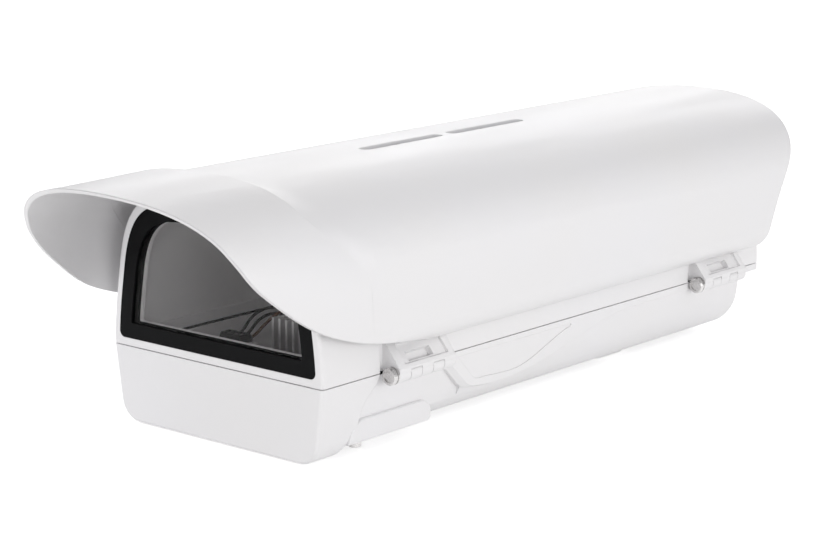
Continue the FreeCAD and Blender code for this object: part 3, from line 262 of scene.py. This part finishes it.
def window_pane(name, head_on=0.006, grazing=0.99, steepness=5.0, smears=0.003):
    """Clear glass: see-through, with a mirror gloss that grows towards a grazing look."""
    made = bpy.data.materials.new(name)
    tree, surface = cleared(made)
    smear = grain(tree, place(tree), size=0.03, detail=3.0)
    gloss = {"Color": rgb(1, 1, 1), "Roughness": 0.015}
    tint = {"Color": rgb(0.985, 0.982, 0.98)}
    facing = node(tree, "ShaderNodeLayerWeight", {}, {"Blend": 0.5}, "Facing")
    mirrored = facing.maths("POWER", steepness) * grazing + head_on
    mirrored = mirrored + smear.spread(0.45, 0.8, to_high=smears)
    fill(tree, surface, mixed(tree, mirrored, node(tree, "ShaderNodeBsdfTransparent", {}, tint),
                              node(tree, "ShaderNodeBsdfGlossy", {}, gloss)))
    return made


WHITE = moulded_white("white_plastic", rgb(0.872, 0.867, 0.88), pore=0.0005, rough=0.42,
                      edge=0.0005)
SHIELD_WHITE = moulded_white("shield_white", rgb(0.862, 0.857, 0.87), pore=0.0006, rough=0.4,
                             edge=0.001)
RUBBER = black_rubber("black_rubber", rgb(0.004, 0.0041, 0.0045), rgb(0.007, 0.0072, 0.0078))
PANE = window_pane("window_glass")
STEEL = turned_metal("stainless", rgb(0.66, 0.65, 0.645), rgb(0.56, 0.55, 0.545), rough=0.26)
ALUMINIUM = turned_metal("aluminium", rgb(0.9, 0.895, 0.9), rgb(0.76, 0.755, 0.765),
                         rough=0.42, stretch=UPRIGHT)
BRASS = turned_metal("brass", rgb(0.72, 0.53, 0.25), rgb(0.55, 0.38, 0.16), rough=0.3)
BLACK = plastic("black_plastic", rgb(0.012, 0.012, 0.013), rgb(0.02, 0.02, 0.022), rough=0.4)
BROWN = plastic("brown_plastic", rgb(0.11, 0.045, 0.02), rgb(0.08, 0.03, 0.013), rough=0.38)
GREY = plastic("grey_plastic", rgb(0.5, 0.51, 0.52), rgb(0.44, 0.45, 0.46), rough=0.45)

COATS = (  # the start of a piece's name, and its material; the first that fits counts
    ("sunshield", SHIELD_WHITE),
    ("base_shell", WHITE),
    ("lid_shell", WHITE),
    ("lid_gasket", RUBBER),
    ("window_seal", RUBBER),
    ("gland_seal", RUBBER),
    ("gland", GREY),
    ("window_glass", PANE),
    ("bracket_inserts", BRASS),
    ("camera_plate", ALUMINIUM),
    ("terminal_bracket", ALUMINIUM),
    ("heater_screws", STEEL),
    ("heater", ALUMINIUM),
    ("terminal_block", BLACK),
    ("wire_black", BLACK),
    ("wire_brown", BROWN),
    ("", STEEL),
)


def coat_for(name):
    return next(coat for start, coat in COATS if name.startswith(start))


for name, piece in NODES.items():
    piece.data.materials.clear()
    piece.data.materials.append(coat_for(name))

# Smooth shading

SAME_SPOT = 0.000002  # corners nearer than this are one
SHARP = math.radians(30.0)


def take(piece):
    """Makes this the one selected and active object."""
    bpy.ops.object.select_all(action="DESELECT")
    piece.select_set(True)
    bpy.context.view_layer.objects.active = piece


def joined(name):
    """A copy of a node with its loose facets joined, to stand for the node."""
    piece = NODES[name].copy()
    piece.data = NODES[name].data.copy()
    piece.name = name + "_finish"
    bpy.context.collection.objects.link(piece)
    take(piece)
    bpy.ops.object.mode_set(mode="EDIT")
    bpy.ops.mesh.select_all(action="SELECT")
    bpy.ops.mesh.remove_doubles(threshold=SAME_SPOT)
    bpy.ops.object.mode_set(mode="OBJECT")
    bpy.ops.mesh.customdata_custom_splitnormals_clear()
    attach(piece, BODY_OF[name])
    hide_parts(name)
    return piece


def smooth(piece):
    """Smooth shading, sharp only at the real edges and led by the large faces."""
    take(piece)
    bpy.ops.object.shade_smooth_by_angle(angle=SHARP)
    level = piece.modifiers.new("level", "WEIGHTED_NORMAL")
    level.keep_sharp = True
    bpy.ops.object.modifier_apply(modifier="level")


for name in [name for name in NODES if not name.startswith(("wire", "sunshield"))]:
    smooth(joined(name))

# Sunshield: the step behind the visor, on the outside and, a little further forward, inside

STEP_LINE = (  # height, and the step's place along the housing
    (0.06, -0.1738), (0.066, -0.174), (0.0955, -0.1765), (0.102, -0.1813), (0.1087, -0.1875),
    (0.1149, -0.1936), (0.1209, -0.199), (0.127, -0.2034), (0.133, -0.2065))
TOP_STEP = (  # distance from the middle, and the visor's height over the body
    (0.0, 0.0034), (0.03, 0.0037), (0.05, 0.0033), (0.06, 0.0026), (0.065, 0.002),
    (0.07, 0.0013), (0.0752, 0.0))
SIDE_STEP = (  # height, and how much narrower the visor is than the body
    (0.08, 0.0001), (0.09, 0.0003), (0.095, 0.0006), (0.1, 0.0012), (0.105, 0.0018),
    (0.11, 0.002), (0.115, 0.0019), (0.12, 0.0012), (0.123, 0.0004), (0.1246, 0.0))
ARCH_MIDDLE = 0.06  # the height that the arched wall turns about
LOWEST = 0.062  # nothing below this height moves
SIDE_TOP = 0.1246  # where the side ends and the top starts
INSIDE_AHEAD = 0.004
RUN = 0.015  # the length over which the step runs out
TOP_SHARE = 0.35  # how much of the step's height is taken up on top
ACROSS = 0.5  # faces turned further along the housing than this are edges, not wall


def read_off(table, value):
    """The table's second column at this value of its first, straight between the rows."""
    return np.interp(value, *zip(*table))


def step_at(height, outside):
    """Where along the housing the step is at this height."""
    return read_off(STEP_LINE, height) - (0.0 if outside else INSIDE_AHEAD)


def ease_step(piece):
    """Runs the body smoothly into the visor at the sides, and part of the way up on top."""
    behind = {}
    for face in piece.data.polygons:
        at, ahead = face.center, face.normal
        outside = ahead.x * at.x + ahead.z * (at.z - ARCH_MIDDLE) > 0
        if at.z > LOWEST and abs(ahead.y) < ACROSS and at.y > step_at(at.z, outside):
            behind.update((index, outside) for index in face.vertices)
    for index, outside in behind.items():
        spot = piece.data.vertices[index].co
        share = min(max(1.0 - (spot.y - step_at(spot.z, outside)) / RUN, 0.0), 1.0)
        share *= share * (3.0 - 2.0 * share)
        if spot.z > SIDE_TOP:
            spot.z += share * TOP_SHARE * read_off(TOP_STEP, abs(spot.x))
        else:
            spot.x -= math.copysign(share * read_off(SIDE_STEP, spot.z), spot.x)


shield = joined("sunshield")
ease_step(shield)
smooth(shield)

# Wires: two points in the terminal block's mouth each, then their way to the heater

LEFT, MIDDLE, RIGHT = ([(x, y, 0.04195) for y in (-0.1495, -0.143)]
                       for x in (-0.038, -0.033, -0.028))
WIRES = {  # length, and the points that the line bends by
    "wire_black_left": (0.078, LEFT + [
        (-0.038, -0.135, 0.051), (-0.035, -0.123, 0.055), (-0.026, -0.111, 0.051),
        (-0.013, -0.1125, 0.042), (-0.011, -0.1215, 0.034), (-0.009, -0.1261, 0.0335)]),
    "wire_black_right": (0.074, MIDDLE + [
        (-0.032, -0.136, 0.050), (-0.029, -0.126, 0.053), (-0.021, -0.114, 0.049),
        (-0.005, -0.1125, 0.041), (-0.003, -0.1215, 0.034), (-0.002, -0.1261, 0.0335)]),
    "wire_brown": (0.076, RIGHT + [
        (-0.026, -0.136, 0.049), (-0.020, -0.126, 0.057), (-0.011, -0.118, 0.056),
        (0.005, -0.1145, 0.046), (0.007, -0.1205, 0.037), (0.007, -0.1261, 0.0365)]),
}
WIRE_THICKNESS = 0.0017


def lay_wire(name, points):
    """A rounder line than the solid's, to stand for the wire."""
    data = bpy.data.curves.new(name + "_lead", "CURVE")
    data.dimensions = "3D"
    data.bevel_depth = WIRE_THICKNESS / 2
    data.bevel_resolution = 5
    data.resolution_u = 24
    data.use_fill_caps = True
    line = data.splines.new("NURBS")
    line.points.add(len(points) - 1)
    for point, spot in zip(line.points, points):
        point.co = (*spot, 1.0)
    line.order_u = 3
    line.use_endpoint_u = True
    line.use_smooth = True
    data.materials.append(coat_for(name))
    piece = bpy.data.objects.new(name + "_lead", data)
    bpy.context.collection.objects.link(piece)
    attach(piece, "base")
    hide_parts(name)


for name, (length, points) in WIRES.items():
    lay_wire(name, points)

# Studio

FLOOR_SIZE = 30.0
UNDER_THE_FEET = (0, 0, -0.0006)
LAMPS = (  # name, place, what it is turned to, width, height and watts
    ("back", (-1.3, 1.9, 0.85), (0, 0, 0.12), 1.8, 0.95, 12.5),
    ("left", (-1.5, 0.4, 1.3), (0, 0, 0.12), 1.4, 1.4, 2.8),
    ("right", (1.6, 0.0, 0.35), (0.05, 0.0, 0.04), 1.8, 0.5, 4.2),
    ("low_right", (1.5, -0.5, 0.28), (0.05, -0.05, 0.04), 1.2, 0.4, 4.8),
    ("low_front", (-0.5, -1.8, 0.22), (0, -0.2, 0.05), 1.2, 0.35, 7.2),
)


def white_paper(glow=0.62):
    """Paper that keeps the shadow, but reads as white to the camera, to gloss and through glass."""
    made = bpy.data.materials.new("paper")
    tree, surface = cleared(made)
    paper = node(tree, "ShaderNodeBsdfDiffuse", {}, {"Color": rgb(0.9, 0.9, 0.9)})
    light = {"Color": rgb(1, 1, 1), "Strength": glow}
    lit = {0: paper, 1: node(tree, "ShaderNodeEmission", {}, light)}
    fill(tree, surface, mixed(tree, seen_by(tree, "Camera", "Glossy", "Transmission"), paper,
                              node(tree, "ShaderNodeAddShader", {}, lit)))
    return made


def soft_room(strength=0.58):
    """A world that is white to look at and lights the housing softly."""
    made = bpy.data.worlds.new("studio")
    bpy.context.scene.world = made
    tree, surface = cleared(made, "ShaderNodeOutputWorld")
    soft = {"Color": rgb(0.995, 0.99, 1.0), "Strength": strength}
    white = {"Color": rgb(1, 1, 1), "Strength": 1.0}
    fill(tree, surface, mixed(tree, seen_by(tree, "Camera", "Transmission"),
                              node(tree, "ShaderNodeBackground", {}, soft),
                              node(tree, "ShaderNodeBackground", {}, white)))


def lamp(name, spot, target, width, height, watts):
    """A rectangular lamp, turned to its target."""
    data = bpy.data.lights.new(name, "AREA")
    data.shape = "RECTANGLE"
    data.size = width
    data.size_y = height
    data.energy = watts
    made = bpy.data.objects.new(name, data)
    bpy.context.collection.objects.link(made)
    made.location = spot
    turned = (Vector(target) - Vector(spot)).to_track_quat("-Z", "Y")
    made.rotation_euler = turned.to_euler()


bpy.ops.object.select_all(action="DESELECT")
bpy.ops.mesh.primitive_plane_add(size=FLOOR_SIZE, location=UNDER_THE_FEET)
floor = bpy.context.object
floor.name = "floor"
floor.data.materials.append(white_paper())

soft_room()
for row in LAMPS:
    lamp(*row)

bpy.context.scene.view_settings.view_transform = "Standard"
